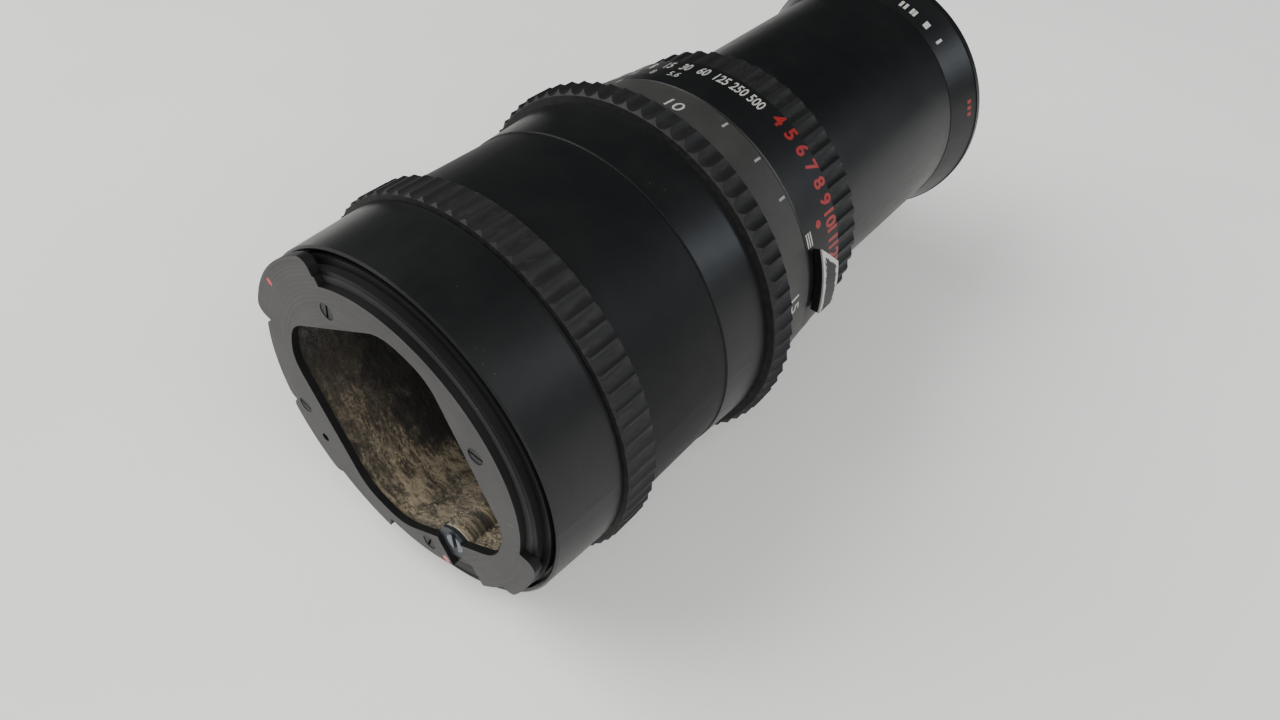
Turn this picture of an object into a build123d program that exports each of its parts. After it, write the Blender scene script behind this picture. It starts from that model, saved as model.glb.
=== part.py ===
from build123d import *
import os
from math import asin, cos, sin

os.makedirs("parts", exist_ok=True)

# Telephoto leaf-shutter lens, lying on its side.
# +Y is the optical axis from the camera seat to the front, +X is right, +Z is up.
# The origin is the centre of the camera seat. Angles go from +X towards +Z about the axis.

# ---- driving dimensions (mm) ----
SEAT_R = 35.0
BARREL_R = 35.6
REAR_BARREL_END = 14.8
GRIP_1_R = 37.1
GRIP_1_END = 22.0
STEP_Y = 44.3
FRONT_TUBE_R = 35.3
GRIP_2_START = 56.1
GRIP_2_END = 61.8
GRIP_2_R = 38.4
COLLAR_END = 73.0
COLLAR_R = 34.4
APERTURE_END = 80.5
APERTURE_R = 34.0
SCALE_END = 85.9
SCALE_R = 33.2
GRIP_3_R = 32.6
GRIP_3_END = 94.4
SLIM_R = 28.5
SLIM_END = 147.0
FLARE_END = 155.7
LENGTH = 157.5
RIM_R = 31.2

GAP = 0.3              # clear space between bodies that pass each other
SLEEVE_R = 33.0        # bearing sleeve of the rear barrel
SLEEVE_BORE = 32.3
SLEEVE_END = 34.0
INNER_R = 32.0         # sliding inner barrel
INNER_BORE = 30.0
INNER_START = 10.0
CASE_R = 31.0
CASE_BORE = 29.8
CASE_FRONT = 93.4
SLIM_BORE = 27.3

# bayonet plate; angles in degrees
PLATE_FACE = -2.8
PLATE_STEP = -1.4      # back of the thin face layer
PLATE_R = 31.3
FACE_R = 29.6          # face layer beside the open recess
LEDGE_R = 31.9
FLANGE_R = 33.5
FLANGE_FRONT = 2.0
RIM_ARC = (109, 347)   # the face layer is wide here, and stepped elsewhere
RELIEF_ARC = (254, 302)
RELIEF_R = 28.6
LUG_THICKNESS = 1.7
LUG_ROUND = 2.0
LUGS = ((110, 160, 34.7), (160, 197, 32.3), (197, 228, 33.0), (318, 347, 33.2))
SCREWS = ((28, 24.8), (112, 25.0), (198, 28.6), (278, 25.4))  # angle, distance from the axis
SCREW_HEAD_R = 1.6
SCREW_R = 0.8
SCREW_SEAT = -1.9      # under each flat head
LATCH_HOLE = (213, 28.0, 0.9, 1.8)  # angle, distance from the axis, radius, depth
INDEX_ANGLE = 140
INDEX_RADIUS = 33.0

# light opening and the baffle behind it: squares with cut corners, turned by OPENING_TURN
OPENING_HALF = 21.7
OPENING_CORNER_R = 25.8
OPENING_TURN = 25
OPENING_FILLET = 9.0
BAFFLE_STEP = 0.8      # the baffle's inner side stands this far outside the opening
BAFFLE_WALL = 0.8
BAFFLE_END = 42.0
BAFFLE_FLANGE_R = 29.6
TROUGH_R = 2.9         # room for the cocking shaft in the baffle's wall
TROUGH_WALL = 0.6

# cocking drive
SHAFT_RADIUS = 22.3    # distance of the cocking shaft from the axis
SHAFT_ANGLE = -60
SHAFT_R = 2.0
SHAFT_BORE = 1.3
ROD_R = 1.2
FIT = 0.06             # radial clearance of a small running fit
HOUSING_ANGLE = -63
HOUSING_FACE = -2.0
HOUSING_END = 2.6
HOUSING_ROUND = 22.9   # centre of the housing's round inner end
HOUSING_OUT = 26.4
HOUSING_WIDTH = 7.4

KEY_ANGLES = (35, 215)
KEY_WIDTH = 6.0

# controls and shutter
APERTURE_TURN = 54     # six full stops, nine degrees each
SPEED_TURN = 99        # ten settings, eleven degrees apart
LINK_WIDTH = 3.0
LINK_MARGIN = 6.0      # free end of each link window, degrees
APERTURE_LINK_Y = (78.2, 79.0)
SPEED_LINK_Y = (87.0, 88.2)
LINK_START = 30
TAB_MID = 6
TAB_SPAN = 24
TAB_SLANT = -45        # its upper end is cut off at this slant
GEAR_POSTS = ((150, 25.0), (168, 25.2), (184, 25.6))
GEAR_RADII = (4.0, 3.6, 3.2)
POST_R = 0.5
SOCKET_Y = 101.5
SOCKET_ANGLE = 250

FILTER_R = 29.6
FRONT_GLASS_R = 25.0
PAIR_GLASS_R = 21.5
REAR_GLASS_R = 17.5

BLADE_COUNT = 5
BLADE_IN = 18.5
BLADE_OUT = 28.0
BLADE_PIVOT_R = 23.2
BLADE_SPAN = 112       # degrees of arc of one blade
BLADE_THICKNESS = 0.15
BLADE_PITCH = 0.34
SHUTTER_Y = 74.4
IRIS_Y = 79.3


# ---- helpers ----
def turned(*outline):
    """A solid of revolution about the optical axis, from (radius, y) points."""
    return revolve(make_face(Polyline(*outline, close=True)), Axis.Y, 360)


def tube(y0, y1, r_in, r_out):
    return turned((r_in, y0), (r_out, y0), (r_out, y1), (r_in, y1))


def around(angle):
    return Rot(0, -angle, 0)


def place(angle, radius, y):
    return around(angle) * Pos(radius, y, 0)


def rod(y0, y1, r):
    """A round bar along Y, from y0 to y1."""
    return Pos(0, (y0 + y1) / 2, 0) * Rot(-90, 0, 0) * Cylinder(r, y1 - y0)


def prism(sketch, y0, y1):
    """A sketch (x to the right, y up) set square to the axis and given the depth y0 to y1."""
    return extrude(Plane.XZ.offset(-y1) * sketch, amount=y1 - y0)


def sector(y0, y1, r_in, r_out, start, end):
    face = make_face(Polyline((r_in, y0), (r_out, y0), (r_out, y1), (r_in, y1), close=True))
    return around(end) * revolve(face, Axis.Y, end - start)


def bar(y0, y1, r0, r1, width, angle):
    """A straight block that spans r0 to r1 from the axis at one angle."""
    return place(angle, (r0 + r1) / 2, (y0 + y1) / 2) * Box(r1 - r0, y1 - y0, width)


def scalloped(count, r_tip, flute_r, depth, y0, y1, bevel, bore):
    """A grip ring with round flutes and bevelled edges."""
    flutes = PolarLocations(r_tip + flute_r - depth, count) * Circle(flute_r)
    blank = prism(Circle(r_tip) - flutes, y0, y1)
    envelope = turned(
        (bore, y0),
        (r_tip - bevel, y0),
        (r_tip, y0 + bevel),
        (r_tip, y1 - bevel),
        (r_tip - bevel, y1),
        (bore, y1),
    )
    return blank & envelope


def dome(radius, y, bulge):
    """An arc from the rim of a glass face to its pole, out by bulge (inwards below 0)."""
    sphere_r = (radius**2 + bulge**2) / (2 * abs(bulge))
    side = 1 if bulge > 0 else -1
    centre_y = y + bulge - side * sphere_r
    half = asin(radius / sphere_r) / 2
    middle = (sphere_r * sin(half), centre_y + side * sphere_r * cos(half))
    return ThreePointArc((radius, y), middle, (0, y + bulge))


def lens(radius, y_rear, y_front, rear_bulge, front_bulge):
    """A glass element. A bulge is positive towards the front on both of its faces."""
    rear = dome(radius, y_rear, rear_bulge)
    front = dome(radius, y_front, front_bulge)
    rim = Line((radius, y_rear), (radius, y_front))
    axis = Line((0, y_front + front_bulge), (0, y_rear + rear_bulge))
    return revolve(make_face([rim, front, axis, rear]), Axis.Y, 360)


def blade(index, y_stack):
    """One crescent leaf, fully open, from its pivot round to its tip."""
    y0 = y_stack + index * BLADE_PITCH
    start = index * 360 / BLADE_COUNT
    leaf = sector(y0, y0 + BLADE_THICKNESS, BLADE_IN, BLADE_OUT, start, start + BLADE_SPAN)
    round_r = (BLADE_OUT - BLADE_IN) / 2
    return leaf + place(start, BLADE_PIVOT_R, 0) * rod(y0, y0 + BLADE_THICKNESS, round_r)


def save(name, shape):
    shape.label = name
    export_step(shape, f"parts/{name}.step")


# ---- fixed rear part ----
def rear_barrel():
    recess_floor = 2.0
    lip_in = 34.2
    return turned(
        (SLEEVE_BORE, recess_floor),
        (lip_in, recess_floor),
        (lip_in, 0.25),
        (SEAT_R - 0.4, 0),
        (SEAT_R, 0.3),
        (BARREL_R, REAR_BARREL_END),
        (SLEEVE_R, REAR_BARREL_END),
        (SLEEVE_R, SLEEVE_END),
        (SLEEVE_BORE, SLEEVE_END),
    )


def square_outline(grow):
    """The light opening's outline, made wider by grow on every side."""
    half = OPENING_HALF + grow
    square = Rot(0, 0, OPENING_TURN) * Rectangle(2 * half, 2 * half)
    outline = square & Circle(OPENING_CORNER_R + grow)
    return fillet(outline.vertices(), OPENING_FILLET)


def housing_block(y0, y1, out):
    """A flat-sided block with a round inner end, from the middle of that end to out."""
    block = bar(y0, y1, HOUSING_ROUND, out, HOUSING_WIDTH, HOUSING_ANGLE)
    return block + place(HOUSING_ANGLE, HOUSING_ROUND, 0) * rod(y0, y1, HOUSING_WIDTH / 2)


def lug(start, end, r_lug):
    """A flat bayonet lug with rounded outer corners."""
    blank = sector(PLATE_FACE, PLATE_FACE + LUG_THICKNESS, FACE_R, r_lug, start, end)
    corners = [
        edge
        for edge in blank.edges().filter_by(Axis.Y)
        if Vector(edge.center().X, 0, edge.center().Z).length > r_lug - 0.1
    ]
    return fillet(corners, LUG_ROUND)


def bayonet_plate():
    opening = square_outline(0)
    well = square_outline(BAFFLE_STEP + BAFFLE_WALL)
    plate = prism(Circle(FACE_R) - opening, PLATE_FACE, PLATE_STEP)
    plate += prism(Circle(LEDGE_R) - well, PLATE_STEP, 0)
    plate += prism(Circle(FLANGE_R) - well, 0, FLANGE_FRONT)
    plate += sector(PLATE_FACE, PLATE_STEP, FACE_R - 1, PLATE_R, *RIM_ARC)
    for start, end, r_lug in LUGS:
        plate += lug(start, end, r_lug)
    plate -= sector(PLATE_FACE, 0, RELIEF_R, FLANGE_R, *RELIEF_ARC)
    angle, radius, r_hole, depth = LATCH_HOLE
    plate -= place(angle, radius, 0) * rod(PLATE_FACE, PLATE_FACE + depth, r_hole)
    plate -= place(INDEX_ANGLE, INDEX_RADIUS, 0) * rod(PLATE_FACE, PLATE_FACE + 0.8, 0.8)
    for angle, radius in SCREWS:
        plate -= place(angle, radius, 0) * rod(PLATE_FACE, SCREW_SEAT, SCREW_HEAD_R)
        plate -= place(angle, radius, 0) * rod(SCREW_SEAT, FLANGE_FRONT, SCREW_R)
    plate -= housing_block(PLATE_FACE, PLATE_STEP, FLANGE_R)
    return plate - housing_block(PLATE_STEP, FLANGE_FRONT, HOUSING_OUT)


def mount_screws():
    screws = []
    for angle, radius in SCREWS:
        head = rod(PLATE_FACE + 0.1, SCREW_SEAT, SCREW_HEAD_R) + rod(SCREW_SEAT, FLANGE_FRONT, SCREW_R)
        slot = Pos(0, PLATE_FACE + 0.3, 0) * Rot(0, 35, 0) * Box(4, 0.6, 0.45)
        screws.append(place(angle, radius, 0) * (head - slot))
    return Compound(children=screws)


def index_mark():
    return place(INDEX_ANGLE, INDEX_RADIUS, 0) * rod(PLATE_FACE + 0.05, PLATE_FACE + 0.8, 0.8)


def rear_baffle():
    """The flocked light tunnel, with a trough along it that clears the cocking shaft."""
    shaft_at = Rot(0, 0, SHAFT_ANGLE) * Pos(SHAFT_RADIUS, 0)
    inside = square_outline(BAFFLE_STEP) - shaft_at * Circle(TROUGH_R + TROUGH_WALL)
    outside = square_outline(BAFFLE_STEP + BAFFLE_WALL) - shaft_at * Circle(TROUGH_R)
    tunnel = prism(outside - inside, PLATE_STEP, BAFFLE_END)
    flange = Circle(BAFFLE_FLANGE_R) - inside - shaft_at * Circle(TROUGH_R)
    tunnel += prism(flange, FLANGE_FRONT, FLANGE_FRONT + 1)
    return tunnel - housing_block(PLATE_STEP, HOUSING_END + 0.1, HOUSING_OUT)


def guide_keys():
    keys = []
    for angle in KEY_ANGLES:
        key = bar(3.0, 52.0, 28.3, 30.9, KEY_WIDTH, angle)
        foot = bar(3.0, 8.0, 28.3, 32.0, KEY_WIDTH, angle)
        keys.append(key + foot)
    return Compound(children=keys)


def thrust_ring():
    return tube(SLEEVE_END, SLEEVE_END + 1.4, SLEEVE_BORE, 33.8)


def cocking_housing():
    """Bearing block of the cocking shaft."""
    block = housing_block(HOUSING_FACE, HOUSING_END, HOUSING_OUT)
    bore = place(SHAFT_ANGLE, SHAFT_RADIUS, 0) * rod(HOUSING_FACE, HOUSING_END, SHAFT_R + FIT)
    return block - bore


def cocking_shaft():
    shaft = rod(HOUSING_FACE - 0.5, 50.0, SHAFT_R) - rod(8.0, 50.0, SHAFT_BORE)
    collar = rod(HOUSING_END + 0.2, HOUSING_END + 1.2, SHAFT_R + 0.5)
    slot = Pos(0, HOUSING_FACE - 0.1, 0) * Rot(0, 30, 0) * Box(5, 0.9, 1.1)
    return place(SHAFT_ANGLE, SHAFT_RADIUS, 0) * (shaft + collar - slot)


# ---- focusing part, turns about the axis ----
def focus_rear_grip():
    return scalloped(72, GRIP_1_R, 2.0, 0.6, REAR_BARREL_END + 0.2, GRIP_1_END, 0.5, SLEEVE_R + GAP)


def focus_barrel_rear():
    shoulder = SLEEVE_END - 0.1
    return turned(
        (SLEEVE_R + GAP, GRIP_1_END),
        (35.1, GRIP_1_END),
        (34.95, STEP_Y - 0.15),
        (34.8, STEP_Y),
        (34.1, STEP_Y),
        (34.1, shoulder),
        (SLEEVE_R + GAP, shoulder),
    )


def focus_barrel_front():
    return turned(
        (33.7, STEP_Y),
        (34.95, STEP_Y),
        (FRONT_TUBE_R - 0.1, STEP_Y + 0.15),
        (FRONT_TUBE_R + 0.5, GRIP_2_START),
        (33.7, GRIP_2_START),
    )


def focus_grip():
    return scalloped(72, GRIP_2_R, 2.0, 1.0, GRIP_2_START, GRIP_2_END, 1.1, 33.7)


def distance_collar():
    return turned(
        (INNER_R + GAP, GRIP_2_END),
        (35.2, GRIP_2_END),
        (COLLAR_R, COLLAR_END - 0.5),
        (COLLAR_R - 0.5, COLLAR_END),
        (INNER_R + GAP, COLLAR_END),
    )


def helicoid_nut():
    return turned(
        (INNER_R + GAP, 36.0),
        (33.7, 36.0),
        (33.7, GRIP_2_END),
        (INNER_R + GAP, GRIP_2_END),
    )


# ---- front unit, slides along the axis ----
def inner_barrel():
    barrel = tube(INNER_START, COLLAR_END, INNER_BORE, INNER_R)
    for angle in KEY_ANGLES:
        barrel -= bar(INNER_START, 56.0, 29.0, 31.2, KEY_WIDTH + 0.3, angle)
    return barrel


def shutter_case():
    case = turned(
        (CASE_BORE, COLLAR_END),
        (CASE_R, COLLAR_END),
        (CASE_R, CASE_FRONT),
        (20.0, CASE_FRONT),
        (20.0, CASE_FRONT - 1.2),
        (CASE_BORE, CASE_FRONT - 1.2),
    )
    for (y0, y1), turn in ((APERTURE_LINK_Y, APERTURE_TURN), (SPEED_LINK_Y, SPEED_TURN)):
        start = LINK_START - LINK_MARGIN - turn
        case -= sector(y0 - 0.4, y1 + 0.4, CASE_BORE - 1, CASE_R + 1, start, LINK_START + LINK_MARGIN)
    return case


def front_barrel():
    barrel = tube(CASE_FRONT, SLIM_END, SLIM_BORE, SLIM_R)
    return barrel + tube(CASE_FRONT, CASE_FRONT + 0.8, 21.0, SLIM_R)


def speed_retainer():
    return tube(GRIP_3_END + 0.2, GRIP_3_END + 1.3, SLIM_R, SLIM_R + 1.0)


def front_flare():
    return turned(
        (SLIM_BORE, SLIM_END),
        (SLIM_R + 0.1, SLIM_END),
        (RIM_R - 0.2, FLARE_END),
        (FILTER_R, FLARE_END),
        (FILTER_R, 152.0),
        (SLIM_BORE, 149.5),
    )


def front_rim():
    return turned(
        (FILTER_R, FLARE_END),
        (RIM_R, FLARE_END),
        (RIM_R, LENGTH - 0.4),
        (RIM_R - 0.4, LENGTH),
        (FILTER_R, LENGTH),
    )


def name_ring():
    return turned((24.4, 148.0), (27.2, 148.0), (27.2, 149.4), (24.9, 149.4))


def front_cell():
    return turned(
        (24.2, 132.0),
        (27.2, 132.0),
        (27.2, 148.0),
        (FRONT_GLASS_R + 0.05, 148.0),
        (FRONT_GLASS_R + 0.05, 139.0),
        (24.2, 139.0),
    )


def front_element():
    return lens(FRONT_GLASS_R, 139.2, 142.0, -1.2, 4.4)


def pair_cell():
    return turned(
        (20.6, 112.0),
        (27.2, 112.0),
        (27.2, 131.5),
        (PAIR_GLASS_R + 0.05, 131.5),
        (PAIR_GLASS_R + 0.05, 115.0),
        (20.6, 115.0),
    )


def pair_front_element():
    return lens(PAIR_GLASS_R, 120.0, 123.0, -2.6, 3.4)


def pair_rear_element():
    return lens(PAIR_GLASS_R, 115.0, 120.0, 2.0, -2.6)


def pair_retainer():
    return tube(123.5, 125.5, 20.4, PAIR_GLASS_R)


def rear_cell():
    cell = turned(
        (16.6, 62.0),
        (19.2, 62.0),
        (19.2, 70.0),
        (INNER_BORE - 0.1, 70.0),
        (INNER_BORE - 0.1, 71.4),
        (REAR_GLASS_R + 0.05, 71.4),
        (REAR_GLASS_R + 0.05, 63.3),
        (16.6, 63.3),
    )
    return cell - place(SHAFT_ANGLE, SHAFT_RADIUS, 0) * rod(69, 72, ROD_R + 0.4)


def rear_element():
    return lens(REAR_GLASS_R, 63.5, 66.5, -1.4, 2.0)


def rear_retainer():
    return tube(66.8, 68.3, 16.4, REAR_GLASS_R)


def shutter_base_plate():
    plate = tube(73.5, 74.2, 17.6, CASE_BORE - 0.1)
    return plate - place(SHAFT_ANGLE, SHAFT_RADIUS, 0) * rod(73, 75, 0.8 + FIT)


def iris_plate():
    return tube(81.2, 82.0, 17.6, CASE_BORE - 0.1)


def escapement_plate():
    plate = tube(90.6, 91.4, 20.0, CASE_BORE - 0.1)
    for angle, radius in GEAR_POSTS:
        plate -= place(angle, radius, 0) * rod(90, 92, POST_R)
    return plate


def retard_gears():
    gears = []
    for (angle, radius), r_tip in zip(GEAR_POSTS, GEAR_RADII):
        count = round(r_tip * 6)
        flutes = PolarLocations(r_tip, count) * Circle(0.28)
        wheel = prism(Circle(r_tip) - flutes, 88.8, 89.6) + rod(88.8, 91.4, POST_R)
        gears.append(place(angle, radius, 0) * wheel)
    return Compound(children=gears)


def main_spring():
    wire_r = 0.25
    coil = Helix(pitch=0.8, height=4.0, radius=2.0)
    section = Plane(coil @ 0, z_dir=coil % 0) * Circle(wire_r)
    return place(300, 25.5, 86.6) * Rot(90, 0, 0) * sweep(section, path=coil)


def sync_socket():
    boss = place(SOCKET_ANGLE, 30.2, SOCKET_Y) * Rot(0, 90, 0) * Cylinder(3.4, 5.6)
    boss -= tube(90, 110, 0, SLIM_R)
    hole = place(SOCKET_ANGLE, 31.6, SOCKET_Y) * Rot(0, 90, 0) * Cylinder(1.55, 3.2)
    pin = place(SOCKET_ANGLE, 31.0, SOCKET_Y) * Rot(0, 90, 0) * Cylinder(0.4, 2.6)
    return boss - hole + pin


# ---- controls ----
def aperture_ring():
    ring = turned(
        (CASE_R + GAP, COLLAR_END + 0.3),
        (APERTURE_R - 0.2, COLLAR_END + 0.3),
        (APERTURE_R, COLLAR_END + 0.6),
        (APERTURE_R, 76.2),
        (APERTURE_R - 0.35, 76.5),
        (APERTURE_R - 0.35, APERTURE_END),
        (CASE_R + GAP, APERTURE_END),
    )
    return ring - bar(75.6, 79.8, 32.2, 36.0, 3.6, TAB_MID)


def iris_ring():
    return tube(*APERTURE_LINK_Y, 18.2, CASE_BORE - GAP)


def link(y_range):
    y0, y1 = y_range
    return bar(y0, y1, CASE_BORE - 1, CASE_R + 1, LINK_WIDTH, LINK_START) & tube(
        y0, y1, CASE_BORE - GAP, CASE_R + GAP
    )


def ev_tab():
    pad = sector(75.0, 80.4, 34.3, 36.4, TAB_MID - TAB_SPAN / 2, TAB_MID + TAB_SPAN / 2)
    slant = place(TAB_MID + TAB_SPAN / 2, 35.3, 75.0) * Rot(TAB_SLANT, 0, 0)
    pad -= slant * Pos(0, 6, 4) * Box(8, 20, 8)
    return pad + bar(77.4, 79.4, 32.5, 34.6, 3.0, TAB_MID)


def speed_scale_ring():
    return tube(APERTURE_END + 0.3, SCALE_END, CASE_R + GAP, SCALE_R)


def speed_grip():
    grip = scalloped(56, GRIP_3_R, 1.5, 0.8, SCALE_END, GRIP_3_END, 0.7, SLIM_R + GAP)
    return grip - tube(SCALE_END - 1, CASE_FRONT + GAP, SLIM_R - 1, CASE_R + GAP)


def speed_cam_ring():
    return tube(*SPEED_LINK_Y, 22.0, CASE_BORE - GAP)


def sync_selector():
    y0 = GRIP_3_END + 1.6
    ring = tube(y0, y0 + 1.2, SLIM_R + 0.3, SLIM_R + 1.1)
    lever = sector(y0, y0 + 1.2, SLIM_R + 0.9, 33.0, 206, 214)
    return ring + lever


def transfer_rod():
    shaft = rod(12.0, 73.4, ROD_R) + rod(73.4, 74.1, 0.8)
    return place(SHAFT_ANGLE, SHAFT_RADIUS, 0) * shaft


def transfer_pinion():
    teeth = PolarLocations(3.0, 14) * Circle(0.35)
    pinion = prism(Circle(3.0) - teeth, 71.8, 73.2) - rod(71.8, 73.2, ROD_R)
    return place(SHAFT_ANGLE, SHAFT_RADIUS, 0) * pinion


def shutter_ring():
    return tube(76.3, 77.0, 18.2, CASE_BORE - GAP)


PIECES = (
    rear_barrel,
    bayonet_plate,
    mount_screws,
    index_mark,
    rear_baffle,
    guide_keys,
    thrust_ring,
    cocking_housing,
    cocking_shaft,
    focus_rear_grip,
    focus_barrel_rear,
    focus_barrel_front,
    focus_grip,
    distance_collar,
    helicoid_nut,
    inner_barrel,
    shutter_case,
    front_barrel,
    speed_retainer,
    front_flare,
    front_rim,
    name_ring,
    front_cell,
    front_element,
    pair_cell,
    pair_front_element,
    pair_rear_element,
    pair_retainer,
    rear_cell,
    rear_element,
    rear_retainer,
    shutter_base_plate,
    iris_plate,
    escapement_plate,
    retard_gears,
    main_spring,
    sync_socket,
    aperture_ring,
    iris_ring,
    ev_tab,
    speed_scale_ring,
    speed_grip,
    speed_cam_ring,
    sync_selector,
    transfer_rod,
    transfer_pinion,
    shutter_ring,
)

for piece in PIECES:
    save(piece.__name__, piece())

save("aperture_link", link(APERTURE_LINK_Y))
save("speed_link", link(SPEED_LINK_Y))
for number in range(BLADE_COUNT):
    save(f"shutter_blade_{number + 1}", blade(number, SHUTTER_Y))
    save(f"iris_blade_{number + 1}", blade(number, IRIS_Y))
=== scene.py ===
import math
import random

import bmesh
import bpy
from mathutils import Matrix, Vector


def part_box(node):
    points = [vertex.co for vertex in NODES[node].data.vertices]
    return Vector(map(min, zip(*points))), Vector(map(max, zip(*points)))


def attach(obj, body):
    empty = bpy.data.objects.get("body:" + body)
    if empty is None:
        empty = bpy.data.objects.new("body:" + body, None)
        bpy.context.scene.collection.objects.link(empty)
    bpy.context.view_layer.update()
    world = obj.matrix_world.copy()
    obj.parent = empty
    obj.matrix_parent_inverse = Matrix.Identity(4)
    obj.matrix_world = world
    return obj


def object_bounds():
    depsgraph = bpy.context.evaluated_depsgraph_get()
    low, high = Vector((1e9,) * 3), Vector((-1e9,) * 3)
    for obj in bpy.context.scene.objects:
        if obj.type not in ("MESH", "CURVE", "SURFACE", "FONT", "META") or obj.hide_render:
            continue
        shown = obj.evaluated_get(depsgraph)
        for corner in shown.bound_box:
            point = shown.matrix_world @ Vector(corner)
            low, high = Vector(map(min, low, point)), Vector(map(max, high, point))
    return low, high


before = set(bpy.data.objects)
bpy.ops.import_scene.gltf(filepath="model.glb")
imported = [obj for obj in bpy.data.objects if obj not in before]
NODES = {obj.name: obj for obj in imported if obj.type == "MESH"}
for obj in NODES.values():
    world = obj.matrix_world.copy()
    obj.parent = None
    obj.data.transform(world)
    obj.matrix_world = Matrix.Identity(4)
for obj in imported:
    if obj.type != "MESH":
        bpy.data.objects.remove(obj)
cad_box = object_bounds()
MM = 0.001

# The lens lies along +Y. Angles go from +X towards +Z about its axis.


# ---------------------------------------------------------------- materials
class Shader:
    """A small wrapper that keeps node code short: one material, one Principled shader."""

    def __init__(self, name):
        self.material = bpy.data.materials.new(name)
        self.material.use_nodes = True
        self.tree = self.material.node_tree
        self.principled = self.tree.nodes["Principled BSDF"]
        coordinates = self.tree.nodes.new("ShaderNodeTexCoord")
        self.place = coordinates.outputs["Object"]
        self.facing = coordinates.outputs["Normal"]

    def node(self, kind, **settings):
        made = self.tree.nodes.new(kind)
        for key, value in settings.items():
            setattr(made, key, value)
        return made

    def link(self, source, target):
        self.tree.links.new(source, target)

    def set(self, **values):
        for key, value in values.items():
            self.principled.inputs[key.replace("_", " ")].default_value = value

    def drive(self, socket, source):
        self.link(source, self.principled.inputs[socket])

    def maths(self, operation, a, b=0.0):
        made = self.node("ShaderNodeMath", operation=operation)
        for socket, value in zip(made.inputs, (a, b)):
            if isinstance(value, (int, float)):
                socket.default_value = value
            else:
                self.link(value, socket)
        return made.outputs[0]

    def stretched(self, x, y, z):
        """Object coordinates times a scale for each axis."""
        made = self.node("ShaderNodeMapping")
        made.inputs["Scale"].default_value = (x, y, z)
        self.link(self.place, made.inputs["Vector"])
        return made.outputs[0]

    def round_place(self, along, about, out):
        """Coordinates that run about the axis, along it and out from it, each scaled."""
        parts = self.node("ShaderNodeSeparateXYZ")
        self.link(self.place, parts.inputs[0])
        x, y, z = parts.outputs
        square = self.maths("ADD", self.maths("MULTIPLY", x, x), self.maths("MULTIPLY", z, z))
        radius = self.maths("SQRT", square)
        angle = self.maths("ARCTAN2", z, x)
        joined = self.node("ShaderNodeCombineXYZ")
        self.link(self.maths("MULTIPLY", angle, about), joined.inputs[0])
        self.link(self.maths("MULTIPLY", y, along), joined.inputs[1])
        self.link(self.maths("MULTIPLY", radius, out), joined.inputs[2])
        return joined.outputs[0], radius, angle, y

    def noise(self, place, scale, detail=3.0, roughness=0.5, distortion=0.0):
        made = self.node("ShaderNodeTexNoise")
        made.inputs["Scale"].default_value = scale
        made.inputs["Detail"].default_value = detail
        made.inputs["Roughness"].default_value = roughness
        made.inputs["Distortion"].default_value = distortion
        self.link(place, made.inputs["Vector"])
        return made.outputs["Fac"]

    def spots(self, place, scale, size):
        """1 inside small round spots, 0 outside."""
        made = self.node("ShaderNodeTexVoronoi")
        made.inputs["Scale"].default_value = scale
        self.link(place, made.inputs["Vector"])
        return self.maths("LESS_THAN", made.outputs["Distance"], size)

    def ramp(self, source, *stops):
        """A colour ramp through (position, (r, g, b)) stops."""
        made = self.node("ShaderNodeValToRGB")
        elements = made.color_ramp.elements
        while len(elements) < len(stops):
            elements.new(0.5)
        for element, (position, colour) in zip(elements, stops):
            element.position = position
            element.color = (*colour, 1)
        self.link(source, made.inputs[0])
        return made.outputs[0]

    def span(self, source, low, high, out_low, out_high):
        made = self.node("ShaderNodeMapRange")
        for key, value in zip(
            ("From Min", "From Max", "To Min", "To Max"), (low, high, out_low, out_high)
        ):
            made.inputs[key].default_value = value
        self.link(source, made.inputs["Value"])
        return made.outputs[0]

    def mix(self, factor, a, b):
        made = self.node("ShaderNodeMix", data_type="RGBA")
        for socket, value in ((made.inputs[0], factor), (made.inputs[6], a), (made.inputs[7], b)):
            if isinstance(value, (int, float)):
                socket.default_value = value
            elif isinstance(value, tuple):
                socket.default_value = (*value, 1)
            else:
                self.link(value, socket)
        return made.outputs[2]

    def bump(self, height, strength, distance):
        made = self.node("ShaderNodeBump")
        made.inputs["Strength"].default_value = strength
        made.inputs["Distance"].default_value = distance
        self.link(height, made.inputs["Height"])
        self.drive("Normal", made.outputs[0])


def satin_paint(name, colour, light, rough, grain=1.0, shine=0.26):
    """Baked enamel: fine orange peel, faint turning lines, rubbed patches and a little dust."""
    s = Shader(name)
    lines, *_ = s.round_place(2600, 0.4, 900)
    patches = s.noise(s.place, 90, 4, 0.6)
    rubbed = s.noise(s.stretched(1, 0.25, 1), 420, 3, 0.7)
    tone = s.ramp(patches, (0.35, colour), (0.7, light))
    dust = s.maths("MULTIPLY", s.spots(s.place, 900, 0.07), s.maths("GREATER_THAN", patches, 0.6))
    tone = s.mix(s.maths("MULTIPLY", dust, 0.2), tone, (0.3, 0.29, 0.27))
    s.drive("Base Color", tone)
    s.drive("Roughness", s.span(rubbed, 0.3, 0.75, rough - 0.02, rough + 0.03))
    s.set(IOR=1.5, Specular_IOR_Level=shine)
    peel = s.noise(s.place, 5200 * grain, 2, 0.5)
    turned = s.noise(lines, 1.0, 1, 0.4)
    height = s.maths("ADD", s.maths("MULTIPLY", peel, 0.7), s.maths("MULTIPLY", turned, 0.3))
    s.bump(height, 0.35, 0.00004)
    return s.material


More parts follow.
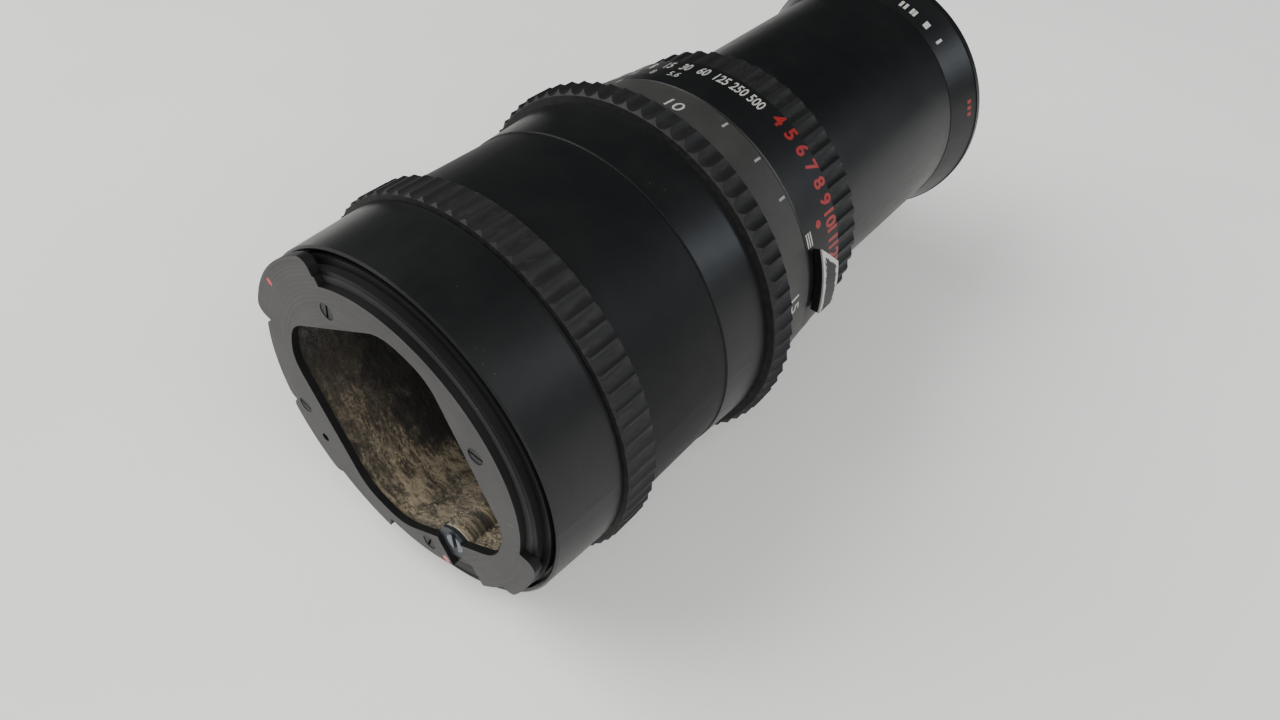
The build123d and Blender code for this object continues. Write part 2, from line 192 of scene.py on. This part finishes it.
def knurl_paint(name, inner, outer):
    """Matte black grip: the ribs' tops are rubbed, and pale dust sits between them."""
    s = Shader(name)
    _, radius, _, _ = s.round_place(1, 1, 1)
    height = s.span(radius, inner * MM, outer * MM, 0, 1)
    lint = s.noise(s.stretched(1, 0.35, 1), 700, 5, 0.75, 0.6)
    low = s.span(height, 0.0, 0.5, 1, 0)
    dusty = s.maths("MULTIPLY", low, s.span(lint, 0.45, 0.7, 0, 0.5))
    rubbed = s.maths("MULTIPLY", s.span(height, 0.86, 1.0, 0, 1), s.span(lint, 0.4, 0.7, 0.1, 0.7))
    base = s.mix(dusty, (0.005, 0.005, 0.0055), (0.03, 0.0285, 0.025))
    s.drive("Base Color", s.mix(rubbed, base, (0.014, 0.0145, 0.015)))
    s.drive("Roughness", s.span(rubbed, 0, 1, 0.6, 0.46))
    s.set(Specular_IOR_Level=0.3)
    s.bump(s.noise(s.place, 6000, 2), 0.4, 0.00004)
    return s.material


def anodised(name, colour, rough, metallic=0.75, wear=0.3):
    """Turned aluminium, anodised: fine tool marks, small scratches and paler rubbed places."""
    s = Shader(name)
    turned, *_ = s.round_place(5200, 0.3, 0)
    tool = s.noise(turned, 1.0, 2, 0.6)
    blotch = s.noise(s.place, 160, 5, 0.65)
    scratch = s.noise(s.stretched(1, 1, 14), 260, 2, 0.8, 0.4)
    thin = s.maths("GREATER_THAN", scratch, 0.735)
    pale = tuple(min(1.0, c * 1.9 + 0.02) for c in colour)
    dark = tuple(c * 0.78 for c in colour)
    tone = s.ramp(blotch, (0.32, dark), (0.68, colour))
    s.drive("Base Color", s.mix(s.maths("MULTIPLY", thin, wear), tone, pale))
    s.drive("Roughness", s.span(tool, 0.3, 0.7, rough - 0.06, rough + 0.08))
    s.set(Metallic=metallic)
    s.bump(tool, 0.25, 0.00003)
    return s.material


def steel(name, colour, rough=0.3):
    """Bare steel with a fine grain and dull stains."""
    s = Shader(name)
    grain = s.noise(s.stretched(60, 4, 60), 120, 3, 0.6)
    stain = s.noise(s.place, 900, 4, 0.6)
    dark = tuple(c * 0.55 for c in colour)
    s.drive("Base Color", s.ramp(stain, (0.35, dark), (0.6, colour)))
    s.drive("Roughness", s.span(grain, 0.3, 0.7, rough - 0.08, rough + 0.12))
    s.set(Metallic=1.0)
    s.bump(grain, 0.15, 0.00002)
    return s.material


def glass(name, tint):
    """Coated optical glass with a trace of dust."""
    s = Shader(name)
    dust = s.spots(s.place, 1500, 0.1)
    haze = s.noise(s.place, 140, 4)
    s.set(Base_Color=(*tint, 1), Transmission_Weight=1.0, IOR=1.6, Coat_Weight=0.6)
    s.set(Coat_Tint=(0.75, 0.6, 1.0, 1), Coat_IOR=1.38)
    level = s.maths("ADD", s.span(haze, 0.4, 0.8, 0.01, 0.05), s.maths("MULTIPLY", dust, 0.25))
    s.drive("Roughness", level)
    return s.material


def enamel(name, colour, rough=0.42):
    """Paint filled into engraved marks: slightly uneven and chipped."""
    s = Shader(name)
    worn = s.noise(s.place, 2600, 4, 0.7)
    dark = tuple(c * 0.45 for c in colour)
    s.drive("Base Color", s.ramp(worn, (0.3, dark), (0.46, colour)))
    s.set(Roughness=rough)
    s.bump(worn, 0.2, 0.00003)
    return s.material


# Places on the bayonet plate, from its face forwards, and the radius where the ledge's grey line ends.
FACE_LAYER_BACK = -2.0 * MM
LEDGE_BACK = -1.0 * MM
GREY_LINE_R = 30.9 * MM


def mount_plate(name):
    """Satin grey plate, darker forward of its face layer. Its upright edge faces, all that lies behind
    its ledge and the ledge outside the grey line are near black.
    """
    s = Shader(name)
    turned, radius, _, along = s.round_place(0, 0.3, 4200)
    tool = s.noise(turned, 1.0, 2, 0.6)
    blotch = s.noise(s.place, 120, 5, 0.6)
    scratch = s.noise(s.stretched(1, 1, 12), 240, 2, 0.8, 0.4)
    tone = s.ramp(blotch, (0.32, (0.036, 0.0355, 0.035)), (0.68, (0.046, 0.0455, 0.045)))
    scratched = s.maths("MULTIPLY", s.maths("GREATER_THAN", scratch, 0.74), 0.5)
    tone = s.mix(scratched, tone, (0.3, 0.3, 0.3))
    facing = s.node("ShaderNodeSeparateXYZ")
    s.link(s.facing, facing.inputs[0])
    upright = s.maths("LESS_THAN", s.maths("ABSOLUTE", facing.outputs["Y"]), 0.5)
    behind = s.maths("GREATER_THAN", along, LEDGE_BACK)
    below_face = s.maths("GREATER_THAN", along, FACE_LAYER_BACK)
    outer = s.maths("GREATER_THAN", radius, GREY_LINE_R)
    outer_ledge = s.maths("MULTIPLY", below_face, outer)
    # Near black on upright faces, behind the ledge and on the ledge outside the grey line.
    black = s.maths("MAXIMUM", upright, s.maths("MAXIMUM", behind, outer_ledge))
    tone = s.mix(s.maths("MULTIPLY", below_face, 0.45), tone, (0.03, 0.03, 0.03))
    s.drive("Base Color", s.mix(black, tone, (0.006, 0.006, 0.0065)))
    s.drive("Roughness", s.span(tool, 0.3, 0.7, 0.42, 0.54))
    s.set(Specular_IOR_Level=0.15)
    s.bump(tool, 0.2, 0.00003)
    return s.material


# The flocking is palest down and to the right, where painted light on the lit lower wall lies over its
# tan dust; painted shade begins deeper in, at an edge that runs deeper there.
DOWN_X = 14.3
DOWN_Z = 40.8
PAINTED_SHADE_DEPTH_HIGH = 9.5 * MM
PAINTED_SHADE_DEPTH_LOW = 16 * MM


def lining_tone(s):
    """Brightness of the flocking from 0 to 1: tan dust near its mouth, painted light low down and
    painted shade deeper inside.
    """
    parts = s.node("ShaderNodeSeparateXYZ")
    s.link(s.place, parts.inputs[0])
    x, y, z = parts.outputs
    down = s.maths("SUBTRACT", s.maths("MULTIPLY", x, DOWN_X), s.maths("MULTIPLY", z, DOWN_Z))
    clumps = s.noise(s.place, 150, 5, 0.7, 0.9)
    ragged = s.span(clumps, 0.3, 0.7, -0.004, 0.004)
    # Painted shade: past this ragged edge the flocking turns dark, and the edge lies deeper low down.
    edge = s.maths("ADD", s.span(down, 0, 1, PAINTED_SHADE_DEPTH_HIGH, PAINTED_SHADE_DEPTH_LOW), ragged)
    before_painted_shade = s.span(s.maths("SUBTRACT", y, edge), -2 * MM, 2.5 * MM, 1, 0.08)
    # Painted light: brighter down and to the right, where light falls on the lower wall, over the real
    # tan dust.
    level = s.maths("MULTIPLY", s.span(down, -0.5, 1.0, 0.16, 1.0), before_painted_shade)
    matted, *_ = s.round_place(330, 3.2, 0)
    patches = s.noise(matted, 1.0, 4, 0.65, 1.2)
    level = s.maths("MULTIPLY", level, s.span(patches, 0.36, 0.6, 0.3, 1.2))
    return s.maths("MULTIPLY", level, s.span(clumps, 0.3, 0.7, 0.7, 1.1))


LINING = (
    (0.0, (0.006, 0.0055, 0.005)),
    (0.35, (0.055, 0.044, 0.03)),
    (1.0, (0.29, 0.24, 0.155)),
)


def flock(name):
    """Aged flocked lining: matted streaks round the tunnel, dusty tan at the mouth, with painted light
    low down and painted shade deeper inside.
    """
    s = Shader(name)
    streaks, *_ = s.round_place(1300, 9, 0)
    hair = s.noise(streaks, 1.0, 5, 0.75, 0.7)
    fine = s.noise(s.place, 2600, 3, 0.7)
    # lining_tone carries painted light low down and painted shade deeper inside.
    level = s.maths("MULTIPLY", lining_tone(s), s.span(hair, 0.36, 0.62, 0.25, 1.2))
    s.drive("Base Color", s.ramp(level, *LINING))
    s.set(Roughness=0.95, Sheen_Weight=0.2, Sheen_Roughness=0.5)
    s.bump(s.maths("ADD", hair, s.maths("MULTIPLY", fine, 0.6)), 0.8, 0.0004)
    return s.material


def paint_nodes(material, *names):
    for name in names:
        data = NODES[name].data
        data.materials.clear()
        data.materials.append(material)


BLACK = (0.0042, 0.0046, 0.005)
BLACK_RUBBED = (0.0065, 0.007, 0.0072)

paint_nodes(
    satin_paint("satin_black", BLACK, BLACK_RUBBED, 0.36),
    "rear_barrel",
    "focus_barrel_front",
    "front_barrel",
    "front_flare",
    "front_rim",
    "speed_retainer",
    "sync_selector",
    "name_ring",
)
paint_nodes(satin_paint("satin_black_dull", BLACK, BLACK_RUBBED, 0.5, 0.8, 0.14), "focus_barrel_rear")
paint_nodes(
    satin_paint("control_black", BLACK, BLACK_RUBBED, 0.4, 1.2), "aperture_ring", "speed_scale_ring"
)
paint_nodes(
    satin_paint("collar_charcoal", (0.026, 0.026, 0.025), (0.036, 0.0355, 0.034), 0.5),
    "distance_collar",
)
paint_nodes(knurl_paint("grip_rear", 36.5, 37.1), "focus_rear_grip")
paint_nodes(knurl_paint("grip_main", 37.3, 38.4), "focus_grip")
paint_nodes(knurl_paint("grip_speed", 31.8, 32.6), "speed_grip")
paint_nodes(mount_plate("mount_grey"), "bayonet_plate")
paint_nodes(
    anodised("inner_black", (0.03, 0.03, 0.03), 0.5, 0.3),
    "inner_barrel",
    "shutter_case",
    "front_cell",
    "pair_cell",
    "pair_retainer",
    "rear_cell",
    "rear_retainer",
    "thrust_ring",
    "iris_ring",
    "speed_cam_ring",
    "shutter_ring",
    "shutter_base_plate",
    "iris_plate",
    "escapement_plate",
)
paint_nodes(
    anodised("nut_brass", (0.55, 0.4, 0.17), 0.35, 1.0),
    "helicoid_nut",
    "retard_gears",
    "guide_keys",
)
paint_nodes(anodised("housing_blue", (0.012, 0.015, 0.019), 0.45, 0.3), "cocking_housing")
paint_nodes(
    steel("bright_steel", (0.17, 0.19, 0.22), 0.4),
    "cocking_shaft",
    "transfer_rod",
    "transfer_pinion",
    "main_spring",
    "aperture_link",
    "speed_link",
    "sync_socket",
)
paint_nodes(steel("dark_screws", (0.035, 0.035, 0.037), 0.5), "mount_screws")
paint_nodes(
    steel("blade_steel", (0.06, 0.06, 0.065), 0.4),
    *[f"{kind}_blade_{k}" for kind in ("shutter", "iris") for k in range(1, 6)],
)
paint_nodes(glass("front_glass", (0.93, 0.96, 1.0)), "front_element", "rear_element")
paint_nodes(glass("pair_glass", (0.96, 0.96, 0.92)), "pair_front_element", "pair_rear_element")
paint_nodes(flock("flock_lining"), "rear_baffle")
paint_nodes(enamel("index_red", (0.42, 0.03, 0.035)), "index_mark")


TAB_END = math.radians(16.0)
TAB_SLANT = 27.5  # radians per metre: how the tab's upper end leans along the axis
TAB_TOP_R = 36.0 * MM
TAB_EDGE = 0.8 * MM


def tab_paint():
    """The tab's black paint is worn to bare metal along its edges."""
    s = Shader("tab_black")
    _, radius, angle, along = s.round_place(1, 1, 1)
    low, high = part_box("ev_tab")
    middle = (low.y + high.y) / 2
    half = (high.y - low.y) / 2
    aside = s.maths("ABSOLUTE", s.maths("SUBTRACT", along, middle))
    rag = s.noise(s.place, 1500, 4, 0.7)
    edge = s.maths("ADD", aside, s.span(rag, 0.3, 0.7, -0.0005, 0.0005))
    long_edge = s.maths("GREATER_THAN", edge, half - TAB_EDGE)
    lean = s.maths("MULTIPLY", s.maths("SUBTRACT", along, low.y), TAB_SLANT)
    slanted = s.maths("ADD", angle, lean)
    ragged = s.maths("ADD", slanted, s.span(rag, 0.3, 0.7, -0.012, 0.012))
    end_edge = s.maths("GREATER_THAN", ragged, TAB_END)
    high_up = s.maths("GREATER_THAN", radius, TAB_TOP_R)
    worn = s.maths("MULTIPLY", s.maths("MAXIMUM", long_edge, end_edge), high_up)
    s.drive("Base Color", s.mix(worn, BLACK, (0.42, 0.42, 0.41)))
    s.drive("Roughness", s.span(rag, 0.3, 0.7, 0.3, 0.45))
    s.drive("Metallic", s.maths("MULTIPLY", worn, 0.5))
    s.set(Specular_IOR_Level=0.25)
    s.bump(rag, 0.2, 0.00005)
    return s.material


paint_nodes(tab_paint(), "ev_tab")


# ---------------------------------------------------------------- painted marks
def mesh_from(builder, name, closed=True):
    if closed:
        bmesh.ops.recalc_face_normals(builder, faces=builder.faces)
    mesh = bpy.data.meshes.new(name)
    builder.to_mesh(mesh)
    builder.free()
    return mesh


def finish_piece(mesh, name, material, body):
    """A new object that rides a body and takes its finish from a slot."""
    piece = bpy.data.objects.new(name, mesh)
    bpy.context.scene.collection.objects.link(piece)
    mesh.materials.append(material)
    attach(piece, body)
    return piece


def cone_point(angle, along, radius, out):
    """A point at a distance out from a turned surface."""
    return Vector((math.cos(angle) * (radius + out), along, math.sin(angle) * (radius + out)))


def glyph_mesh(text, size, bold=0.0):
    """Flat filled figures, centred on the origin, as (vertices, faces)."""
    curve = bpy.data.curves.new("glyph", "FONT")
    curve.body = text
    curve.size = size
    curve.offset = bold * size
    curve.align_x = "CENTER"
    curve.align_y = "CENTER"
    curve.resolution_u = 4
    holder = bpy.data.objects.new("glyph", curve)
    bpy.context.scene.collection.objects.link(holder)
    bpy.context.view_layer.update()
    depsgraph = bpy.context.evaluated_depsgraph_get()
    mesh = bpy.data.meshes.new_from_object(holder.evaluated_get(depsgraph))
    points = [v.co.copy() for v in mesh.vertices]
    faces = [tuple(p.vertices) for p in mesh.polygons]
    bpy.data.objects.remove(holder)
    bpy.data.meshes.remove(mesh)
    return points, faces


PAINT_SINK = 0.05 * MM
PAINT_STAND = 0.02 * MM


def wrap(builder, points, faces, angle, along, radius_at, narrow=1.0):
    """Lays flat paint on a turned surface as a thin closed chip. Its right side is towards -angle."""
    layers = []
    for stand in (-PAINT_SINK, PAINT_STAND):
        ring = []
        for p in points:
            y = along + p.y
            radius = radius_at(y)
            turn = angle - p.x * narrow / radius
            ring.append(builder.verts.new(cone_point(turn, y, radius, stand)))
        layers.append(ring)
    bottom, top = layers
    edges = {}
    for face in faces:
        builder.faces.new([top[i] for i in face])
        builder.faces.new([bottom[i] for i in reversed(face)])
        for a, b in zip(face, face[1:] + face[:1]):
            edges[(a, b)] = True
    for a, b in edges:
        if (b, a) not in edges:
            builder.faces.new((top[b], top[a], bottom[a], bottom[b]))


def straight(r0, y0, r1, y1):
    """The radius of a cone or cylinder as a function of the place along the axis, in metres."""

    def radius_at(y):
        return (r0 + (r1 - r0) * (y / MM - y0) / (y1 - y0)) * MM

    return radius_at


COLLAR = straight(35.2, 61.8, 34.4, 72.5)
APERTURE_REAR = straight(34.0, 73.6, 34.0, 76.2)
APERTURE_FRONT = straight(33.65, 76.5, 33.65, 80.5)
SCALE = straight(33.2, 80.8, 33.2, 85.9)
FLARE = straight(28.6, 147.0, 31.0, 155.7)


def stroke_mesh(width, height, steps=6):
    """A flat bar of faces, centred on the origin."""
    half_w, half_h = width / 2, height / 2
    points = []
    for k in range(steps + 1):
        x = -half_w + width * k / steps
        points += [Vector((x, -half_h, 0)), Vector((x, half_h, 0))]
    return points, [(2 * k, 2 * k + 2, 2 * k + 3, 2 * k + 1) for k in range(steps)]


def dot_mesh(radius, sides=24):
    """A flat round face, centred on the origin."""
    turns = [2 * math.pi * k / sides for k in range(sides)]
    points = [Vector((radius * math.cos(t), radius * math.sin(t), 0)) for t in turns]
    return points, [tuple(range(sides))]


def marks(name, material, body, radius_at, items, narrow=1.0, bold=0.0):
    """Paints items on a turned surface. An item is (what, angle, place along, text size).

    What is a text, the (width, height) of a stroke, or the radius of a dot.
    """
    builder = bmesh.new()
    for what, angle, along, size in items:
        if isinstance(what, str):
            points, faces = glyph_mesh(what, size * MM, bold)
        elif isinstance(what, tuple):
            points, faces = stroke_mesh(what[0] * MM, what[1] * MM)
        else:
            points, faces = dot_mesh(what * MM)
        wrap(builder, points, faces, math.radians(angle), along * MM, radius_at, narrow)
    return finish_piece(mesh_from(builder, name), name, material, body)


WHITE = enamel("mark_white", (0.34, 0.34, 0.32))
FAINT = enamel("mark_faint", (0.2, 0.21, 0.2))
RED = enamel("mark_red", (0.2, 0.01, 0.01))
YELLOW = enamel("mark_yellow", (0.30, 0.30, 0.07))
PINK = enamel("mark_pink", (0.42, 0.10, 0.11))

speeds = ("500", "250", "125", "60", "30", "15", "8", "4", "2", "1", "B")
marks(
    "speed_figures",
    WHITE,
    "speed_ring",
    SCALE,
    [(text, 68.5 + 7.4 * k, 83.2, 4.0) for k, text in enumerate(speeds)],
    narrow=0.6,
    bold=0.012,
)
marks(
    "exposure_figures",
    RED,
    "speed_ring",
    SCALE,
    [(str(4 + k), 59 - 6.2 * k, 83.9, 4.8) for k in range(15)],
    narrow=0.85,
    bold=0.03,
)
stops = ("5.6", "8", "11", "16", "22", "32", "45")
marks(
    "aperture_figures",
    WHITE,
    "aperture_ring",
    APERTURE_FRONT,
    [(text, 97 + 9 * k, 78.5, 2.8) for k, text in enumerate(stops)],
    narrow=0.8,
)
marks(
    "aperture_strokes",
    WHITE,
    "aperture_ring",
    APERTURE_REAR,
    [((3.0, 0.32), 20.8, 74.25 + 0.7 * k, 0) for k in range(3)],
)
distances = (("10", 82.5), ("15", 5), ("30", 305), ("7", 140), ("5", 188), ("4", 222), ("3", 258))
marks(
    "distance_figures",
    WHITE,
    "focus_barrel",
    COLLAR,
    [(text, angle, 67.0, 4.4) for text, angle in distances],
)
marks(
    "depth_ticks",
    FAINT,
    "focus_barrel",
    COLLAR,
    [((0.5, 1.9), angle, 71.0, 0) for angle in (67, 52.5, 38.5, 110, 125, 139)],
)
marks(
    "front_strokes",
    WHITE,
    "front_unit",
    FLARE,
    [((0.7, 1.8), angle, 149.9, 0) for angle in (72.6, 70.2, 66.5, 64.8, 58, 56.6, 48)],
)
marks(
    "front_red_strokes",
    RED,
    "front_unit",
    FLARE,
    [((0.9, 1.2), angle, 153.2, 0) for angle in (10, 13, 16)],
)
marks(
    "aperture_red_dot",
    RED,
    "aperture_ring",
    APERTURE_FRONT,
    [(0.85, 23, 79.2, 0)],
)


DRIVE_DOT_R = 0.85 * MM


def drive_dot(name, material, angle, radius, along):
    """A painted index dot on the mount, beside the cocking drive."""
    builder = bmesh.new()
    points, _ = dot_mesh(DRIVE_DOT_R)
    middle = cone_point(math.radians(angle), along * MM, radius * MM, 0)
    layers = [
        [builder.verts.new(middle + Vector((p.x, depth, p.y))) for p in points]
        for depth in (-PAINT_STAND, PAINT_SINK)
    ]
    top, bottom = layers
    builder.faces.new(top)
    builder.faces.new(list(reversed(bottom)))
    for k in range(len(points)):
        builder.faces.new((top[k - 1], top[k], bottom[k], bottom[k - 1]))
    finish_piece(mesh_from(builder, name), name, material, "mount_barrel")


drive_dot("drive_dot_pink", PINK, 286.5, 27.6, -2.8)
drive_dot("drive_dot_yellow", YELLOW, 299.5, 27.75, -1.4)


# ---------------------------------------------------------------- flock fibres
FIBRES = 9000
FIBRE_STEPS = 3
FIBRE_DEPTH = 24 * MM
FIBRE_MOUTH = -1.0 * MM


def lining_triangles():
    """The inward faces of the tunnel, as (corners, normal, area)."""
    mesh = NODES["rear_baffle"].data
    mesh.calc_loop_triangles()
    found = []
    for triangle in mesh.loop_triangles:
        normal = triangle.normal
        corners = [mesh.vertices[i].co for i in triangle.vertices]
        outward = Vector((corners[0].x, 0, corners[0].z)).normalized()
        if abs(normal.y) < 0.3 and normal.dot(outward) < -0.2:
            found.append((corners, normal.copy(), triangle.area))
    return found


def flock_fibres():
    """Matted tufts that lie round the tunnel and stand a little off its wall."""
    rng = random.Random(11)
    triangles = lining_triangles()
    areas = [area for _, _, area in triangles]
    builder = bmesh.new()
    made = 0
    while made < FIBRES:
        (a, b, c), normal, _ = rng.choices(triangles, areas)[0]
        u, v = rng.random(), rng.random()
        if u + v > 1:
            u, v = 1 - u, 1 - v
        start = a + (b - a) * u + (c - a) * v
        if not FIBRE_MOUTH < start.y < FIBRE_DEPTH:
            continue
        made += 1
        around = normal.cross(Vector((0, 1, 0)))
        length = rng.uniform(1.2, 4.6) * MM
        half = rng.uniform(0.03, 0.09) * MM
        lean = rng.gauss(0.0, 0.22)
        bend = rng.uniform(-0.6, 0.6)
        lift = rng.uniform(0.08, 0.45) * MM
        previous = None
        place = start
        for k in range(FIBRE_STEPS + 1):
            t = k / FIBRE_STEPS
            turn = lean + bend * t
            ahead = around * math.cos(turn) + Vector((0, math.sin(turn), 0))
            place = place + ahead * (length / FIBRE_STEPS if k else 0)
            place.y = max(place.y, FIBRE_MOUTH)
            centre = place + normal * (0.03 * MM + lift * math.sin(math.pi * min(1.0, 0.1 + t)))
            side = ahead.cross(normal) * half * (1 - 0.6 * t)
            pair = (builder.verts.new(centre - side), builder.verts.new(centre + side))
            if previous:
                builder.faces.new((previous[0], previous[1], pair[1], pair[0]))
            previous = pair
    mesh = mesh_from(builder, "flock_fibres", closed=False)
    s = Shader("fibre")
    tuft = s.noise(s.place, 1500, 2)
    # The fibres carry the lining's painted light low down and painted shade deeper inside.
    level = s.maths("MULTIPLY", lining_tone(s), s.span(tuft, 0.35, 0.65, 0.35, 1.5))
    s.drive("Base Color", s.ramp(level, *LINING))
    s.set(Roughness=0.9)
    return finish_piece(mesh, "flock_fibres", s.material, "mount_barrel")


flock_fibres()

# ---------------------------------------------------------------- stage, lights and camera
low, high = cad_box
size = (high - low).length
FLOOR_REACH = 9


def floor():
    """A wide pale sheet that the lens lies on."""
    half = size * FLOOR_REACH
    mesh = bpy.data.meshes.new("floor")
    corners = [(-half, -half), (half, -half), (half, half), (-half, half)]
    mesh.from_pydata([(x, y, low.z) for x, y in corners], [], [(0, 1, 2, 3)])
    piece = bpy.data.objects.new("floor", mesh)
    bpy.context.scene.collection.objects.link(piece)
    s = Shader("pale_floor")
    weave = s.noise(s.place, 1800, 3, 0.6)
    folds = s.noise(s.place, 6, 3, 0.5)
    s.drive("Base Color", s.ramp(folds, (0.3, (0.77, 0.76, 0.745)), (0.7, (0.84, 0.835, 0.82))))
    s.set(Roughness=0.9)
    s.bump(weave, 0.12, 0.0002)
    mesh.materials.append(s.material)


floor()


KEY_COLOUR = (1.0, 0.99, 0.97)
WINDOW_COLOUR = (0.82, 0.9, 1.0)
KEY_DISTANCE = 1.4
KEY_SIDE = 1.2


def area_light(name, direction, distance, width, height, power, colour):
    data = bpy.data.lights.new(name, "AREA")
    data.shape = "RECTANGLE"
    data.size = width
    data.size_y = height
    data.energy = power
    data.color = colour
    lamp = bpy.data.objects.new(name, data)
    bpy.context.scene.collection.objects.link(lamp)
    away = Vector(direction).normalized()
    lamp.location = (low + high) / 2 + away * distance
    lamp.rotation_mode = "QUATERNION"
    lamp.rotation_quaternion = (-away).to_track_quat("-Z", "Y")
    return lamp


area_light("key_left", (-0.75, -0.45, 0.85), KEY_DISTANCE, KEY_SIDE, KEY_SIDE, 24, KEY_COLOUR)
area_light("key_right", (0.85, -0.35, 0.7), KEY_DISTANCE, KEY_SIDE, KEY_SIDE, 21, KEY_COLOUR)
area_light("window", (0.72, 0.56, 0.40), 1.2, 0.28, 0.4, 2.6, WINDOW_COLOUR)

WORLD_COLOUR = (0.97, 0.98, 1.0, 1)
WORLD_BRIGHT = 0.55
WORLD_DARK = 0.03
FADE_START = 0.0
FADE_END = 0.42


def studio_world():
    """Soft light all round, fading to dark towards the front of the lens."""
    world = bpy.data.worlds.new("studio")
    world.use_nodes = True
    nodes, links = world.node_tree.nodes, world.node_tree.links
    background = nodes["Background"]
    background.inputs["Color"].default_value = WORLD_COLOUR
    direction = nodes.new("ShaderNodeTexCoord")
    parts = nodes.new("ShaderNodeSeparateXYZ")
    fade = nodes.new("ShaderNodeMapRange")
    fade.inputs["From Min"].default_value = FADE_START
    fade.inputs["From Max"].default_value = FADE_END
    fade.inputs["To Min"].default_value = WORLD_BRIGHT
    fade.inputs["To Max"].default_value = WORLD_DARK
    links.new(direction.outputs["Generated"], parts.inputs[0])
    links.new(parts.outputs["Y"], fade.inputs["Value"])
    links.new(fade.outputs[0], background.inputs["Strength"])
    bpy.context.scene.world = world


studio_world()

CAMERA_PLACE = (0.0995, -0.0596, 0.1173)
CAMERA_AIM = (-0.4625, 0.5698, -0.6793)
CAMERA_LENS = 26.54

camera_data = bpy.data.cameras.new("camera")
camera_data.sensor_width = 36
camera_data.lens = CAMERA_LENS
camera_data.clip_start = 0.005
camera_data.clip_end = 50
camera = bpy.data.objects.new("camera", camera_data)
bpy.context.scene.collection.objects.link(camera)
camera.location = CAMERA_PLACE
camera.rotation_mode = "QUATERNION"
camera.rotation_quaternion = Vector(CAMERA_AIM).to_track_quat("-Z", "Y")
bpy.context.scene.camera = camera
